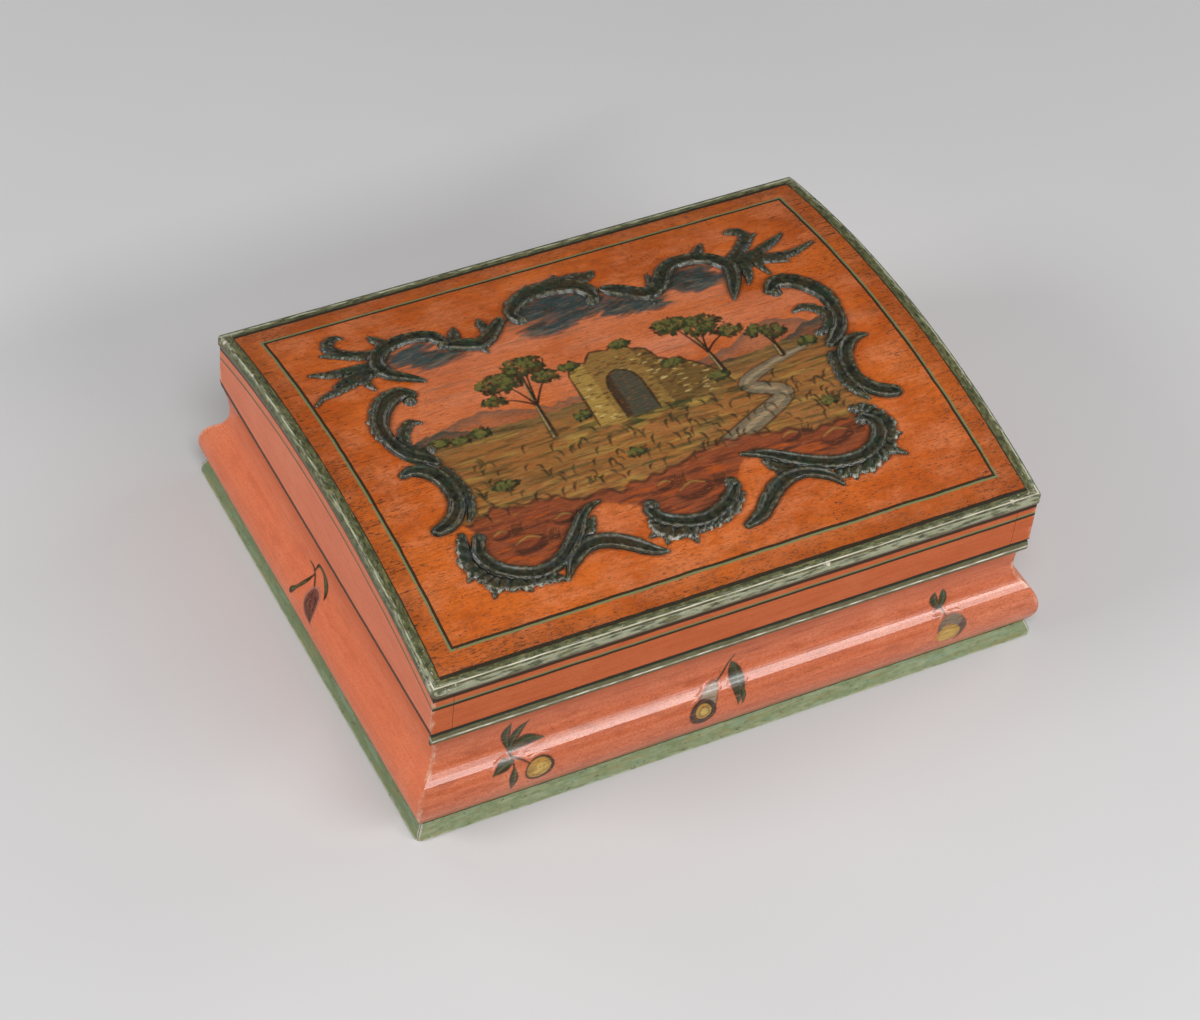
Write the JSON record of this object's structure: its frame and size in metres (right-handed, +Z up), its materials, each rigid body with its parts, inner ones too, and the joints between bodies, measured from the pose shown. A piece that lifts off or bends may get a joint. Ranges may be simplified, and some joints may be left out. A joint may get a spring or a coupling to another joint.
{
  "type": "lidded box",
  "caption": "Lacquered wooden casket: ogee base on a canted plinth, hinged lid with an arched panel, rounded green edge and a dark scroll frame in low relief.",
  "frame": {"origin": "on the floor, under the middle of the box", "axes": "+X to the right seen from the front, +Y to the back, +Z up"},
  "size_m": [0.379, 0.299, 0.1281],
  "materials": {
    "red_lacquer": "orange-red lacquer over gesso, satin, with dark streaks and patina",
    "salmon_lacquer": "salmon-pink lacquer over gesso, glossy, worn at the edges",
    "green_paint": "olive-green paint on mouldings, worn pale along the edges",
    "relief_gesso": "built-up gesso painted dark green, silvery where rubbed",
    "bare_wood": "bare aged softwood",
    "brass": "old dull brass",
    "iron": "hand-forged iron"
  },
  "bodies": {
    "base": {"base_wall_front": "salmon_lacquer", "base_wall_back": "salmon_lacquer", "base_wall_left": "salmon_lacquer", "base_wall_right": "salmon_lacquer", "front_bead": "green_paint", "plinth_front": "green_paint", "plinth_back": "green_paint", "plinth_left": "green_paint", "plinth_right": "green_paint", "bottom_board": "bare_wood", "bottom_nails": "iron", "hinge_lower_leaf_left": "brass", "hinge_lower_leaf_right": "brass", "hinge_pin_left": "brass", "hinge_pin_right": "brass", "hinge_nails_lower": "brass"},
    "lid": {"lid_stave_front": "red_lacquer", "lid_stave_middle": "red_lacquer", "lid_stave_back": "red_lacquer", "lid_edge_front": "green_paint", "lid_edge_back": "green_paint", "lid_edge_left": "green_paint", "lid_edge_right": "green_paint", "lid_rail_front": "salmon_lacquer", "lid_rail_back": "salmon_lacquer", "lid_rail_left": "salmon_lacquer", "lid_rail_right": "salmon_lacquer", "relief_crest": "relief_gesso", "relief_left_shoulder": "relief_gesso", "relief_right_shoulder": "relief_gesso", "relief_left_side": "relief_gesso", "relief_right_side": "relief_gesso", "relief_bottom_left": "relief_gesso", "relief_bottom_middle": "relief_gesso", "relief_bottom_right": "relief_gesso", "hinge_upper_leaf_left": "brass", "hinge_upper_leaf_right": "brass", "hinge_nails_upper": "brass"}
  },
  "joints": [
    {"name": "lid_hinge", "type": "hinge", "parent": "base", "child": "lid", "pos_m": [0, 0.1385, 0.07215], "axis": [-1, 0, 0], "range_deg": [0, 100]}
  ]
}
